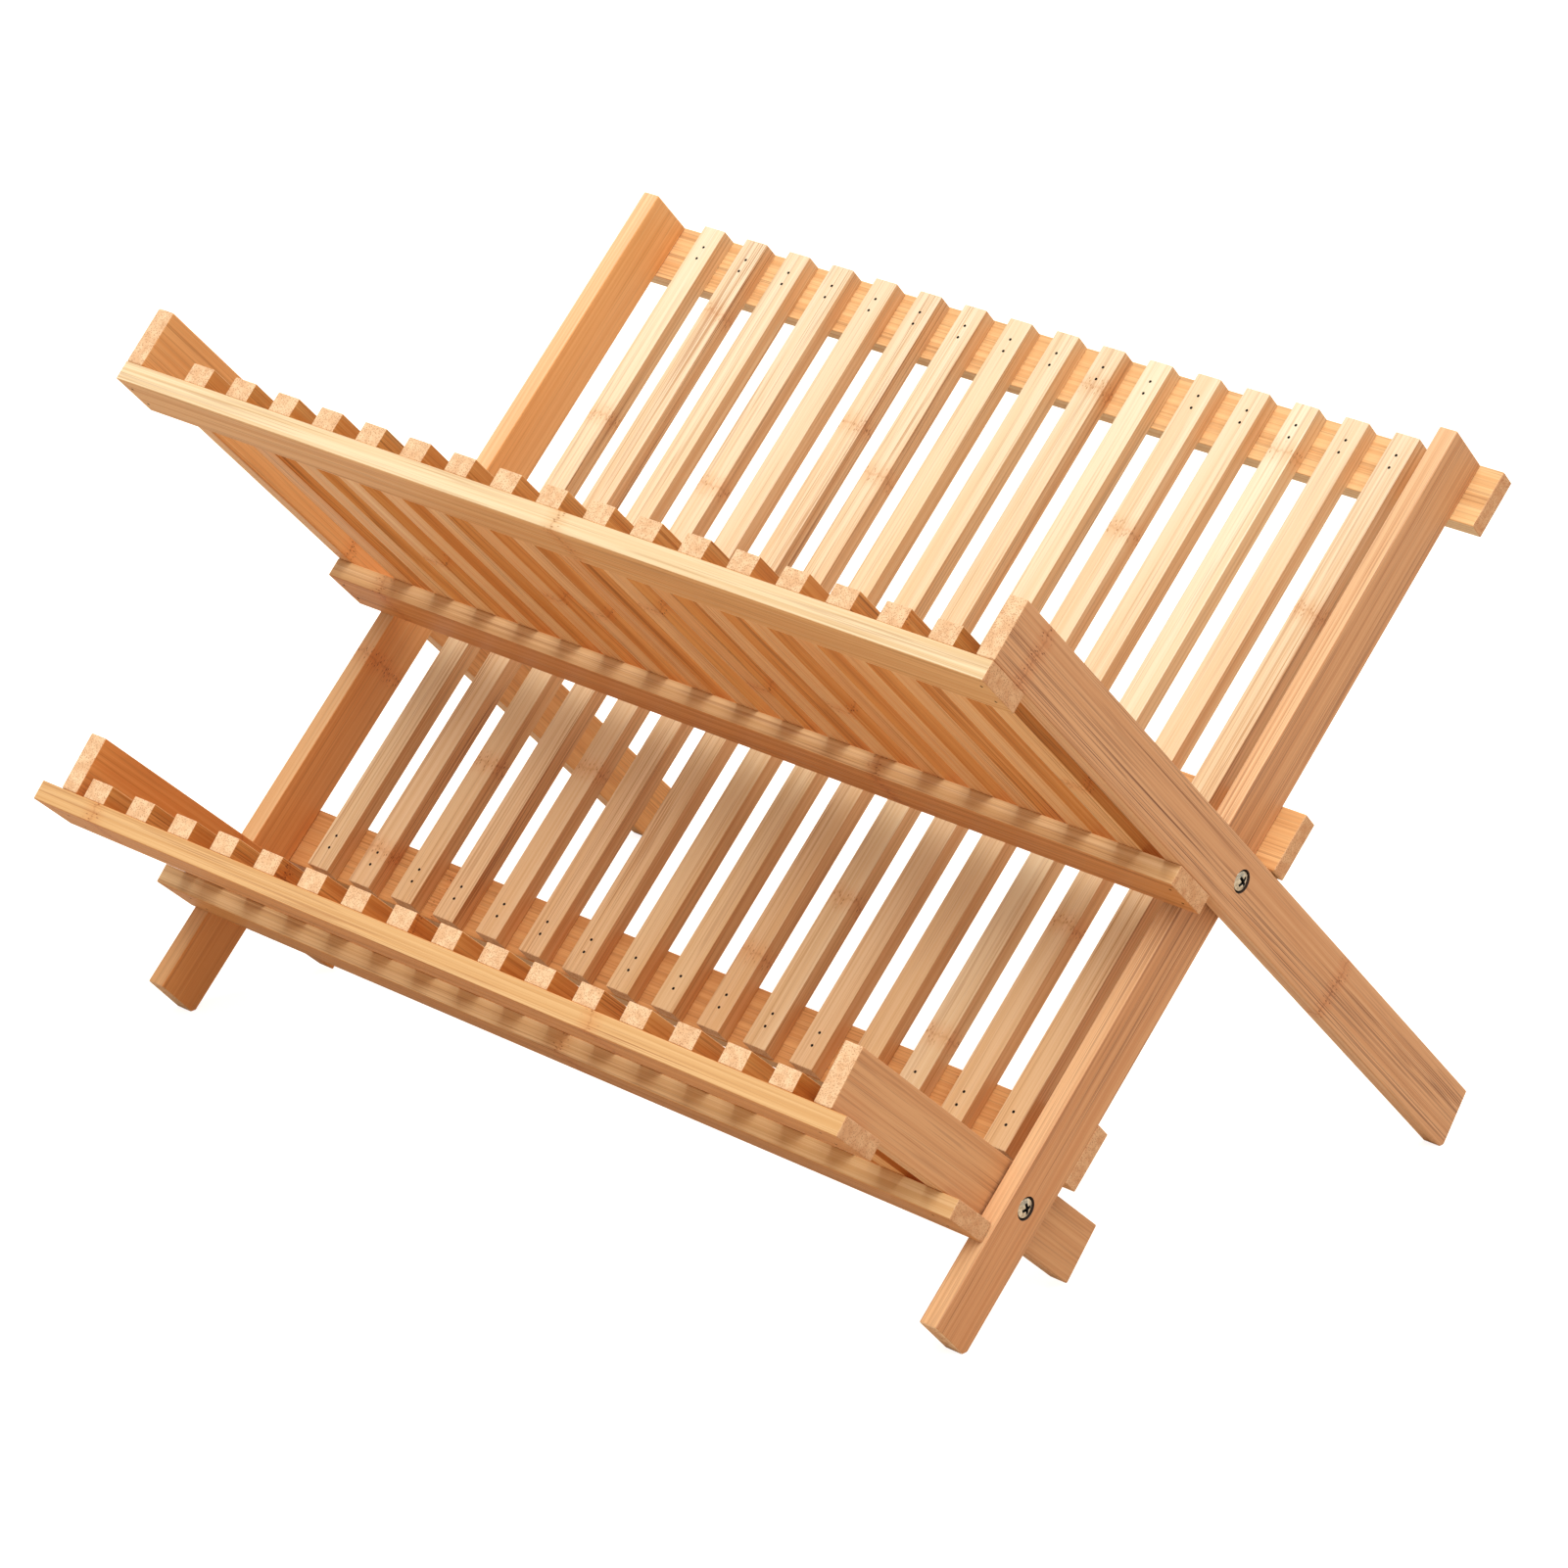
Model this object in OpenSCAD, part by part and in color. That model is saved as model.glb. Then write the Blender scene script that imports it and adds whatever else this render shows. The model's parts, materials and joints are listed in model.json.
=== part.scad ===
// Two-tier folding dish drying rack of bamboo laths.
// Three ladder frames share one side view. The back frame runs from the front feet up to the back
// edge, the front frame crosses it from the rear feet up to the front edge, and the small lower
// frame hangs on the back frame's legs. Both upper halves make the upper tier, and the lower frame
// makes the lower tier with the back frame's legs. Each frame is two side rails, crossbars nailed
// to their undersides, and a row of slats nailed to the crossbars on the dish side.
// Frame: +Z up, +Y to the back, +X to the right. Origin: bottom centre of the bounding box.

/* [Timber] */
// Thickness of a side rail, across the rack
rail_t = 7.3; // [6.5:0.1:8]
// Depth of a side rail, from its underside to its dish side
rail_d = 21.7; // [21:0.1:22]
// Width of a crossbar, along the rails
bar_w = 22; // [18:0.5:24]
// Thickness of a crossbar
bar_t = 7.2; // [6:0.1:7.5]
// Width of a slat
slat_w = 10; // [7:0.5:12]
// Height of a slat above its crossbars
slat_h = 7.2; // [5:0.1:8]

/* [Stance] */
// Height of the main pivot above the floor
pivot_height = 135; // [134.5:0.1:135.5]
// Slope of the back frame, from level
back_angle = 45.9; // [45.7:0.1:46]
// Slope of the front frame, from level
front_angle = 42.3; // [42.2:0.1:42.5]
// Slope of the lower frame, from level
lower_angle = 38.8; // [38.6:0.1:39]

/* [Back frame] */
// Width over the back frame's side rails
back_width = 370; // [330:1:400]
// Length of the back frame above the main pivot
back_top = 169.7; // [150:0.1:180]
// Length of the back frame's legs below the main pivot
back_foot = 178; // [177.8:0.1:178.5]
// Distance of the middle bar's lower edge above the main pivot
back_middle = 11.1; // [11:0.1:14]
// Distance of the lower bar's upper edge below the main pivot
back_lower = 90.4; // [80:0.1:91]
// How far the top and middle bars stand out past each rail
back_bar_overhang = 9.6; // [9.4:0.1:11]
// Number of slats in the back frame
back_slats = 16; // [10:1:16]

/* [Front frame] */
// Gap between a back rail and the front rail outside it
front_gap = 1.6; // [1.2:0.1:2]
// Length of the front frame above the main pivot
front_top = 173.8; // [150:0.1:180]
// Length of the front frame's legs along their upper edge
front_foot_upper = 186; // [185:0.1:187]
// Length of the front frame's legs along their lower edge
front_foot_lower = 189.6; // [189.2:0.1:190]
// Distance of the front frame's lower bar above the main pivot
front_lower = 12.1; // [11.5:0.1:14]
// Number of slats in the front frame
front_slats = 17; // [10:1:17]
// Sideways shift of the front frame's slat row
front_slat_shift = 6; // [0:0.1:6]

/* [Lower frame] */
// Gap between a back rail and the lower rail inside it
lower_gap = 0.8; // [0.5:0.1:1]
// Distance of the lower pivot below the main pivot, along the back frame
lower_pivot = 128.2; // [128:0.1:129]
// Length of the lower frame above its pivot
lower_top = 107.7; // [100:0.1:107.8]
// Length of the lower frame's tails below its pivot
lower_tail = 53.4; // [40:0.1:55]
// Distance of the lower frame's bottom bar above its pivot
lower_bottom = 11.7; // [11.6:0.1:14]
// Sideways shift of the lower frame's crossbars
lower_bar_shift = -1.3; // [-1.3:0.1:1.3]
// Sideways shift of the lower frame's slat row
lower_slat_shift = -2.5; // [-4:0.1:4]
// Number of slats in the lower frame
lower_slats = 16; // [10:2:16]

/* [Slat rows] */
// Spacing of the slats in the back and lower frames
slat_pitch = 21.1; // [18:0.1:21.3]
// Spacing of the slats in the front frame
front_slat_pitch = 20.8; // [18:0.05:20.8]

/* [Pivots] */
// Diameter of the sleeve nut's barrel
sleeve_dia = 5; // [4:0.1:6]
// Diameter of the sleeve nut's flange
flange_dia = 9; // [8:0.1:10]
// Thickness of the sleeve nut's flange
flange_t = 1.8; // [1:0.1:2]
// Diameter of the pivot screw's head
head_dia = 7.2; // [6.5:0.1:8]
// Diameter of the pivot screw's shank
shank_dia = 3.5; // [3:0.1:3.8]
// Depth of the counterbore that the head sits in
counterbore_depth = 1.6; // [1.2:0.1:2]
// How far the head stands out of its counterbore
head_proud = 0.5; // [0.2:0.1:0.6]

/* [Nails] */
// Diameter of a nail
nail_dia = 1.1; // [0.8:0.1:1.5]
// Length of the nails that hold the slats
slat_nail_length = 13; // [10:0.5:13.5]
// Length of the nails that hold the crossbars
bar_nail_length = 20; // [15:0.5:25]
// How far a nail's head is sunk below the surface
nail_sink = 0.4; // [0.3:0.1:0.8]
// Distance between the two nails of a pair
nail_spacing = 5; // [4:0.5:8]

/* [Hidden] */
$fn = 48;
bamboo = "burlywood";
steel = "silver";

// Clearances: a sleeve in the hole it turns in and a screw in its sleeve, both on the radius, and
// faces that move past each other
running_clearance = 0.05;
thread_clearance = 0.03;
free_gap = 0.3;

// How far solids that are joined run into each other
overlap = 0.1;

// Each frame's rail centre line from its pivot line, towards the dish side
back_offset = -1.25;
front_offset = -0.85;
lower_offset = 0.7;

// A bar nail's distance from the edge of its crossbar
nail_inset = 6;

// Screw head: edge break, rise of the domed top, and the screwdriver cross
head_edge = 0.5;
head_rise = 0.2;
cross_w = 1.1;
cross_l = 4.4;
cross_depth = 1.4;

// Half widths, from the rack's middle plane to the outer face of each pair of rails
back_x = back_width / 2;
front_x = back_x + front_gap + rail_t;
lower_x = back_x - rail_t - lower_gap;

// Undersides of the rails, where the crossbars are nailed
back_under = back_offset - rail_d / 2;
front_under = front_offset - rail_d / 2;
lower_under = lower_offset - rail_d / 2;

// The lower pivot and the extreme points of the side view, from the main pivot
lower_pivot_y = -lower_pivot * cos(back_angle);
lower_pivot_z = -lower_pivot * sin(back_angle);
front_reach = -lower_pivot_y + lower_top * cos(lower_angle)
    - (lower_under - bar_t) * sin(lower_angle);
back_reach = front_foot_upper * cos(front_angle) + (front_offset + rail_d / 2) * sin(front_angle);
pivot_y = (front_reach - back_reach) / 2;

back_slat_names = [for (i = [1:back_slats]) str("back_slat_", i)];
front_slat_names = [for (i = [1:front_slats]) str("front_slat_", i)];
lower_pairs = lower_slats / 2;
lower_slat_names = [for (i = [1:lower_pairs]) str("lower_slat_pair_", i)];

// Where the floor crosses a frame's side view: across the rail at a given distance along it, or
// along the rail at a given distance across it. drop is the pivot's height above the floor
function floor_across(along, angle, drop) = (-drop - along * sin(angle)) / cos(angle);
function floor_along(across, angle, drop) = (-drop - across * cos(angle)) / sin(angle);

// X of a slat's middle, counted from 1 on the left
function slat_x(i, count, pitch, shift) = shift + (i - (count + 1) / 2) * pitch;

// Each frame is drawn with X across the rack, Y up along its rails and Z towards its dish side,
// and is then put in its place
module place_back() {
    translate([0, pivot_y, pivot_height]) rotate([back_angle, 0, 0]) children();
}

module place_front() {
    translate([0, pivot_y, pivot_height]) rotate([-front_angle, 0, 0]) mirror([0, 1, 0]) children();
}

module place_lower() {
    translate([0, pivot_y + lower_pivot_y, pivot_height + lower_pivot_z])
        rotate([-lower_angle, 0, 0]) mirror([0, 1, 0]) children();
}

// A side rail from its outline in the side view; outer_x is its outer face on the right
module rail(outline, outer_x) {
    translate([outer_x - rail_t, 0, 0]) rotate([90, 0, 90]) linear_extrude(rail_t) polygon(outline);
}

// A hole or rod along X, from x0 to x1, at a distance along the rail
module rod(x0, x1, dia, along = 0) {
    translate([x0, along, 0]) rotate([0, 90, 0]) cylinder(h = x1 - x0, d = dia);
}

// A pivot hole through a rail
module pivot_hole(outer_x, along = 0) {
    rod(outer_x - rail_t - 1, outer_x + 1, sleeve_dia + 2 * running_clearance, along);
}

// The counterbore for a screw head in a rail's outer face
module counterbore(outer_x, along = 0) {
    rod(outer_x - counterbore_depth, outer_x + 1, head_dia + 2 * free_gap, along);
}

// Draws a right-hand piece as it is, or mirrored to the left
module on_side(side) {
    if (side == "left") mirror([1, 0, 0]) children();
    else children();
}

// A crossbar on the underside of the rails; low is its lower edge along the rails
module crossbar(half_width, low, under) {
    translate([-half_width, low, under - bar_t]) cube([2 * half_width, bar_w, bar_t]);
}

// One slat on the dish side of the crossbars
module slat(x, low, high, under) {
    translate([x - slat_w / 2, low, under]) cube([slat_w, high - low, slat_h]);
}

// Two nails through a slat into the crossbar whose lower edge is at low
module slat_nails(x, low, under) {
    tip = under + slat_h - nail_sink - slat_nail_length;
    for (k = [-1, 1])
        translate([x, low + bar_w / 2 + k * nail_spacing / 2, tip])
            cylinder(h = slat_nail_length, d = nail_dia, $fn = 16);
}

// Two nails up through each end of a crossbar into the rails; outer_x is the rails' outer face
module bar_nails(outer_x, low, under) {
    for (side = [-1, 1])
        for (k = [nail_inset, bar_w - nail_inset])
            translate([side * (outer_x - rail_t / 2), low + k, under - bar_t + nail_sink])
                cylinder(h = bar_nail_length, d = nail_dia, $fn = 16);
}

// Back frame
back_top_low = back_top - bar_w;
back_lower_low = -back_lower - bar_w;
back_bars = [back_top_low, back_middle, back_lower_low];
back_bar_x = back_x + back_bar_overhang;

module back_rail(side) {
    over = back_offset + rail_d / 2;
    heel = floor_along(back_under, back_angle, pivot_height);
    toe = floor_across(-back_foot, back_angle, pivot_height);
    outline = [
        [heel, back_under], [back_top, back_under], [back_top, over],
        [-back_foot, over], [-back_foot, toe]
    ];
    color(bamboo) place_back() on_side(side) difference() {
        rail(outline, back_x);
        pivot_hole(back_x);
        pivot_hole(back_x, -lower_pivot);
        counterbore(back_x, -lower_pivot);
    }
}

module back_top_bar() {
    color(bamboo) place_back() crossbar(back_bar_x, back_top_low, back_under);
}

module back_middle_bar() {
    color(bamboo) place_back() crossbar(back_bar_x, back_middle, back_under);
}

module back_lower_bar() {
    color(bamboo) place_back() crossbar(back_x, back_lower_low, back_under);
}

module back_slat(i) {
    x = slat_x(i, back_slats, slat_pitch, 0);
    color(bamboo) place_back() slat(x, back_lower_low, back_top, back_under);
}

module back_nails() {
    color("dimgray") place_back() for (low = back_bars) {
        for (i = [1:back_slats]) slat_nails(slat_x(i, back_slats, slat_pitch, 0), low, back_under);
        bar_nails(back_x, low, back_under);
    }
}

// Front frame
front_top_low = front_top - bar_w;
front_bars = [front_top_low, front_lower];

module front_rail(side) {
    over = front_offset + rail_d / 2;
    slant = (front_foot_lower - front_foot_upper) / rail_d;
    heel = floor_along(front_under, front_angle, pivot_height);
    toe = ((front_foot_upper + slant * over) * sin(front_angle) - pivot_height)
        / (cos(front_angle) + slant * sin(front_angle));
    outline = [
        [heel, front_under], [front_top, front_under], [front_top, over],
        [-front_foot_upper, over], [-front_foot_upper - slant * (over - toe), toe]
    ];
    color(bamboo) place_front() on_side(side) difference() {
        rail(outline, front_x);
        pivot_hole(front_x);
        counterbore(front_x);
    }
}

module front_top_bar() {
    color(bamboo) place_front() crossbar(front_x, front_top_low, front_under);
}

module front_lower_bar() {
    color(bamboo) place_front() crossbar(front_x, front_lower, front_under);
}

module front_slat(i) {
    x = slat_x(i, front_slats, front_slat_pitch, front_slat_shift);
    color(bamboo) place_front() slat(x, front_lower, front_top, front_under);
}

module front_nails() {
    color("dimgray") place_front() for (low = front_bars) {
        for (i = [1:front_slats])
            slat_nails(slat_x(i, front_slats, front_slat_pitch, front_slat_shift), low, front_under);
        bar_nails(front_x, low, front_under);
    }
}

// Lower frame
lower_top_low = lower_top - bar_w;
lower_bars = [lower_top_low, lower_bottom];

function lower_slat_x(i) = slat_x(i, lower_slats, slat_pitch, lower_slat_shift);

module lower_rail(side) {
    over = lower_offset + rail_d / 2;
    outline = [
        [-lower_tail, lower_under], [lower_top, lower_under], [lower_top, over], [-lower_tail, over]
    ];
    color(bamboo) place_lower() on_side(side) difference() {
        rail(outline, lower_x);
        pivot_hole(lower_x);
    }
}

module lower_top_bar() {
    color(bamboo) place_lower() translate([lower_bar_shift, 0, 0])
        crossbar(back_x, lower_top_low, lower_under);
}

module lower_bottom_bar() {
    color(bamboo) place_lower() translate([lower_bar_shift, 0, 0])
        crossbar(back_x, lower_bottom, lower_under);
}

module lower_slat_pair(pair) {
    color(bamboo) place_lower() for (i = [2 * pair - 1, 2 * pair])
        slat(lower_slat_x(i), lower_bottom, lower_top, lower_under);
}

module lower_nails() {
    color("dimgray") place_lower() for (low = lower_bars) {
        for (i = [1:lower_slats]) slat_nails(lower_slat_x(i), low, lower_under);
        bar_nails(lower_x, low, lower_under);
    }
}

// Pivots: a screw from the outer face turns into a sleeve nut from the inner face
module pivot_screw(outer_x) {
    base = outer_x - counterbore_depth + free_gap;
    top = outer_x + head_proud;
    radius = head_dia / 2;
    profile = [
        [0, base], [radius, base], [radius, top - head_edge], [radius - head_edge, top - head_rise],
        [radius / 2, top], [0, top]
    ];
    difference() {
        union() {
            rotate([0, 90, 0]) rotate_extrude() polygon(profile);
            rod(outer_x - 2 * rail_t, base + overlap, shank_dia);
        }
        for (turn = [0, 90])
            translate([top, 0, 0]) rotate([turn, 0, 0])
                cube([2 * cross_depth, cross_l, cross_w], center = true);
    }
}

module pivot_sleeve(inner_x, outer_x) {
    difference() {
        union() {
            rod(inner_x - flange_t, inner_x, flange_dia);
            rod(inner_x - overlap, outer_x - counterbore_depth - overlap, sleeve_dia);
        }
        rod(inner_x - flange_t - 1, outer_x, shank_dia + 2 * thread_clearance);
    }
}

module pivot_screws() {
    color(steel) place_back() for (side = ["left", "right"]) on_side(side) {
        pivot_screw(front_x);
        translate([0, -lower_pivot, 0]) pivot_screw(back_x);
    }
}

module pivot_sleeves() {
    color(steel) place_back() for (side = ["left", "right"]) on_side(side) {
        pivot_sleeve(back_x - rail_t, front_x);
        translate([0, -lower_pivot, 0]) pivot_sleeve(lower_x - rail_t - free_gap, back_x);
    }
}

back_rail("left");  // back_rail_left
back_rail("right");  // back_rail_right
back_top_bar();
back_middle_bar();
back_lower_bar();
for (i = [1:back_slats]) back_slat(i);
back_nails();
front_rail("left");  // front_rail_left
front_rail("right");  // front_rail_right
front_top_bar();
front_lower_bar();
for (i = [1:front_slats]) front_slat(i);
front_nails();
lower_rail("left");  // lower_rail_left
lower_rail("right");  // lower_rail_right
lower_top_bar();
lower_bottom_bar();
for (i = [1:lower_pairs]) lower_slat_pair(i);
lower_nails();
pivot_screws();
pivot_sleeves();
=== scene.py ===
"""Looks of the folding bamboo dish rack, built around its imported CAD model. Units are metres."""
import json
import math
import random
from collections import namedtuple

import bmesh
import bpy
from mathutils import Matrix, Vector


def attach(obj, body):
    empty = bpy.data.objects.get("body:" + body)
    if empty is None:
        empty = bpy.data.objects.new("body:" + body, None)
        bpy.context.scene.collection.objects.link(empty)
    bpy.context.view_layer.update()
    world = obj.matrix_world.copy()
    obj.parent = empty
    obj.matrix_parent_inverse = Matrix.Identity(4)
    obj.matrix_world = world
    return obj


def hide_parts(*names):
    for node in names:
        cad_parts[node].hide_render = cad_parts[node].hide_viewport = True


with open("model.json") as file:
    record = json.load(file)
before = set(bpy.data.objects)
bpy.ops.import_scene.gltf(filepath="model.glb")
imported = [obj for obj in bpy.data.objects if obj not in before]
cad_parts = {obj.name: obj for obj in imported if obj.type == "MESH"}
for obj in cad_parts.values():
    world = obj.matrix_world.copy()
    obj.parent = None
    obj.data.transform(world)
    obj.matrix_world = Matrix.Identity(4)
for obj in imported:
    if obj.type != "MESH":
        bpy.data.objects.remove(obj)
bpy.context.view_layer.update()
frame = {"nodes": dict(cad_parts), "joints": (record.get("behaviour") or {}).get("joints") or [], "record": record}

MM = 0.001

# Camera: its place in metres, where it looks in degrees, and its lens and sensor in millimetres
CAMERA_PLACE = (1.2054, -1.3802, 0.8242)
CAMERA_AZIMUTH = 40.83
CAMERA_ELEVATION = 21.11
CAMERA_ROLL = 3.22
CAMERA_LENS = 131.25
CAMERA_SENSOR = 36
CAMERA_NEAR = 0.05
CAMERA_FAR = 60

# Timber: how far the edges are eased and how round, and by how much a slat's ends fall short
SLAT_EASE = 0.36 * MM
BAR_EASE = 0.45 * MM
RAIL_EASE = 0.7 * MM
EASE_SEGMENTS = 3
EASE_PROFILE = 0.6
SLAT_SHORT = 0.5 * MM

# Nail pits: a nail shorter than this holds a slat and has its head uppermost
SLAT_NAIL_MAX = 16 * MM
PIT_RADIUS = 0.55 * MM
PIT_DEPTH = 1.5 * MM
PIT_TURNS = 14

# Holes in the rails at the two pivots; every hole's cutter reaches a little past the rail
PIVOT_HOLE_RADIUS = 2.55 * MM
COUNTERBORE_RADIUS = 3.9 * MM
COUNTERBORE_DEPTH = 1.6 * MM
COUNTERBORE_BREAK = 0.25 * MM
HOLE_OVERSHOOT = MM
HOLE_TURNS = 40

# Pivot screws: the head's outline and the cross cut in it
HEAD_RIM = 0.6 * MM
HEAD_RISE = 0.75 * MM
HEAD_STEPS = 8
HEAD_TURNS = 64
CROSS_WIDTH = 1.5 * MM
CROSS_LENGTH = 5.4 * MM
CROSS_DEPTH = 1.5 * MM
CROSS_TAPER = 0.55
CROSS_TURNS = (24, 63, 12, 33)

# Shading: edges sharper than these angles, in degrees, stay sharp
BOARD_CREASE = 50
SCREW_CREASE = 35
FLAT_FACE_WEIGHT = 80

# Reading the CAD solids: points this close are one, and normals this parallel look the same way
WELD_DISTANCE = 0.001 * MM
SAME_DIRECTION = 0.999

# Faces of a board that meet at less than this angle, in degrees, are one face
FLAT_ANGLE = 1

random.seed(11)


# ---------------------------------------------------------------- camera

def look_matrix(azimuth, elevation, roll):
    """Rotation of a camera that looks azimuth to the left of +Y and elevation downwards."""
    a, e, r = (math.radians(v) for v in (azimuth, elevation, roll))
    forward = Vector((-math.sin(a) * math.cos(e), math.cos(a) * math.cos(e), -math.sin(e)))
    level = forward.cross(Vector((0, 0, 1))).normalized()
    above = level.cross(forward)
    right = level * math.cos(r) + above * math.sin(r)
    up = right.cross(forward)
    return Matrix((right, up, -forward)).transposed()


def add_camera():
    data = bpy.data.cameras.new("camera")
    data.lens = CAMERA_LENS
    data.sensor_width = CAMERA_SENSOR
    data.clip_start = CAMERA_NEAR
    data.clip_end = CAMERA_FAR
    camera = bpy.data.objects.new("camera", data)
    bpy.context.scene.collection.objects.link(camera)
    turn = look_matrix(CAMERA_AZIMUTH, CAMERA_ELEVATION, CAMERA_ROLL).to_4x4()
    camera.matrix_world = Matrix.Translation(CAMERA_PLACE) @ turn
    bpy.context.scene.camera = camera


add_camera()


# ---------------------------------------------------------------- materials

class Shader:
    """A node material, with short calls for the nodes that it is built from."""

    def __init__(self, name):
        self.material = bpy.data.materials.new(name)
        self.material.use_nodes = True
        self.tree = self.material.node_tree
        self.tree.nodes.clear()
        self.surface = self.add("ShaderNodeBsdfPrincipled")
        output = self.add("ShaderNodeOutputMaterial")
        self.join(self.surface.outputs["BSDF"], output.inputs["Surface"])

    def add(self, kind, **settings):
        node = self.tree.nodes.new(kind)
        for key, value in settings.items():
            setattr(node, key, value)
        return node

    def join(self, source, target):
        """Links an output to an input, or sets the input where the source is a plain value."""
        if isinstance(source, bpy.types.NodeSocket):
            self.tree.links.new(source, target)
        else:
            target.default_value = source

    def attribute(self, name, output="Fac"):
        return self.add("ShaderNodeAttribute", attribute_name=name).outputs[output]

    def object_place(self):
        return self.add("ShaderNodeTexCoord").outputs["Object"]

    def stretch(self, vector, scale, shift=(0, 0, 0)):
        node = self.add("ShaderNodeMapping")
        self.join(vector, node.inputs["Vector"])
        node.inputs["Scale"].default_value = scale
        node.inputs["Location"].default_value = shift
        return node.outputs["Vector"]

    def noise(self, vector, detail=2.0, roughness=0.5):
        node = self.add("ShaderNodeTexNoise")
        self.join(vector, node.inputs["Vector"])
        node.inputs["Scale"].default_value = 1
        node.inputs["Detail"].default_value = detail
        node.inputs["Roughness"].default_value = roughness
        return node.outputs["Fac"]

    def cells(self, vector):
        """Distance to the nearest of a field of scattered points."""
        node = self.add("ShaderNodeTexVoronoi")
        self.join(vector, node.inputs["Vector"])
        node.inputs["Scale"].default_value = 1
        return node.outputs["Distance"]

    def span(self, value, low, high, out_low=0.0, out_high=1.0):
        """Maps a value from low..high to out_low..out_high, and holds it there."""
        node = self.add("ShaderNodeMapRange", clamp=True)
        self.join(value, node.inputs["Value"])
        node.inputs["From Min"].default_value = low
        node.inputs["From Max"].default_value = high
        node.inputs["To Min"].default_value = out_low
        node.inputs["To Max"].default_value = out_high
        return node.outputs["Result"]

    def calc(self, operation, first, second=0.0):
        node = self.add("ShaderNodeMath", operation=operation)
        self.join(first, node.inputs[0])
        self.join(second, node.inputs[1])
        return node.outputs["Value"]

    def blend(self, share, first, second, mode="MIX"):
        node = self.add("ShaderNodeMix", data_type="RGBA", blend_type=mode)
        self.join(share, node.inputs["Factor"])
        first_in, second_in = (i for i in node.inputs if i.type == "RGBA")
        self.join(first, first_in)
        self.join(second, second_in)
        return next(o for o in node.outputs if o.type == "RGBA")

    def tint(self, share, colour, factors):
        """A colour, and where share is 1 the same colour with each channel multiplied."""
        return self.blend(share, colour, self.blend(1.0, colour, factors, "MULTIPLY"))

    def along(self, vector):
        """The part of a grain place that runs along its board."""
        node = self.add("ShaderNodeSeparateXYZ")
        self.join(vector, node.inputs["Vector"])
        return node.outputs["Y"]

    def bump(self, height, strength, distance):
        node = self.add("ShaderNodeBump")
        self.join(height, node.inputs["Height"])
        node.inputs["Strength"].default_value = strength
        node.inputs["Distance"].default_value = distance
        self.join(node.outputs["Normal"], self.surface.inputs["Normal"])


def shade(red, green, blue):
    """A colour given as screen values from 0 to 255, in the shader's own linear values."""
    def linear(v):
        v /= 255
        return v / 12.92 if v <= 0.04045 else ((v + 0.055) / 1.055) ** 2.4
    return (linear(red), linear(green), linear(blue), 1)


# Textures: repeats per metre across, along and through the board, and a shift that keeps the
# layers from lining up
BANDS = ((260, 2.5, 260), (0, 0, 0))
STREAKS = ((1000, 5, 1000), (4, 2, 6))
PATCHES = ((130, 6, 130), (9, 4, 2))
FIBRES = ((1500, 16, 1500), (3, 1, 7))
FIGURE_LINES = ((640, 1.4, 640), (2, 2, 2))
RIPPLES = ((300, 0, 300), (0, 0, 0))
SPECKS = ((1100, 420, 1100), (0, 0, 0))
END_CLOUDS = ((300, 300, 300), (0, 0, 0))
END_DOTS = ((1700, 20, 1700), (0, 0, 0))
PIT_SHADE_MOTTLE = ((2500, 2500, 2500), (0, 0, 0))
METAL_SMEARS = ((380, 900, 900), (0, 0, 0))

# How each layer shows: two values of its texture, and the layer's strength at each
BAND_SPAN = (0.34, 0.66, 0.0, 1.0)
MIDDLE_STREAK_SPAN = (0.5, 0.62, 0.0, 0.8)
PALE_STREAK_SPAN = (0.5, 0.38, 0.0, 0.7)
PATCH_SPAN = (0.38, 0.6, 0.0, 1.0)
FIBRE_SPAN = (0.57, 0.64, 0.0, 1.0)
FIBRE_FIGURE_SPAN = (0, 1, 0.25, 1.0)
SPECK_SPAN = (0.12, 0.3, 1.0, 0.0)
SPECK_HALO_SPAN = (0.2, 0.7, 0.0, 1.0)
END_CLOUD_SPAN = (0.35, 0.65, 0.0, 1.0)
END_DOT_SPAN = (0.2, 0.45, 0.6, 0.0)
SMEAR_SPAN = (0.35, 0.7, 0.0, 1.0)

# Thin lines: the texture values whose contours they follow, how wide they are, and their strength
LINE_LEVELS = (0.5, 0.6)
LINE_WIDTH = 0.026
GLINT_LEVEL = 0.56
GLINT_WIDTH = 0.03
GLINT_SHARE = 0.8

# Growth knuckles: their spacing along a board, and the size and strength of their marks
KNUCKLE_SPACING = 0.235
KNUCKLE_WAVE = 1.2 * MM
KNUCKLE_LINE = 0.7 * MM
KNUCKLE_HALO = 6 * MM
RIPPLE_RANGE = (0.3, 0.7)
RING_SHARE = 0.25
HALO_SHARE = 0.8

# Paleness: what the colour is multiplied by at the knuckles, and on pinker, darker and paler boards, and on the
# darker foot and paler top that a painted shade gives a board
KNUCKLE_TINT = (0.95, 0.8, 0.7, 1)
PINK_TINT = (1.0, 0.94, 0.94, 1)
DARK_TINT = (0.9, 0.69, 0.47, 1)
PALE_TINT = (1.15, 1.3, 1.45, 1)
DARK_TONE_SPAN = (0.0, 0.5, 1.0, 0.0)
PALE_TONE_SPAN = (0.5, 1.0, 0.0, 1.0)

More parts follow.
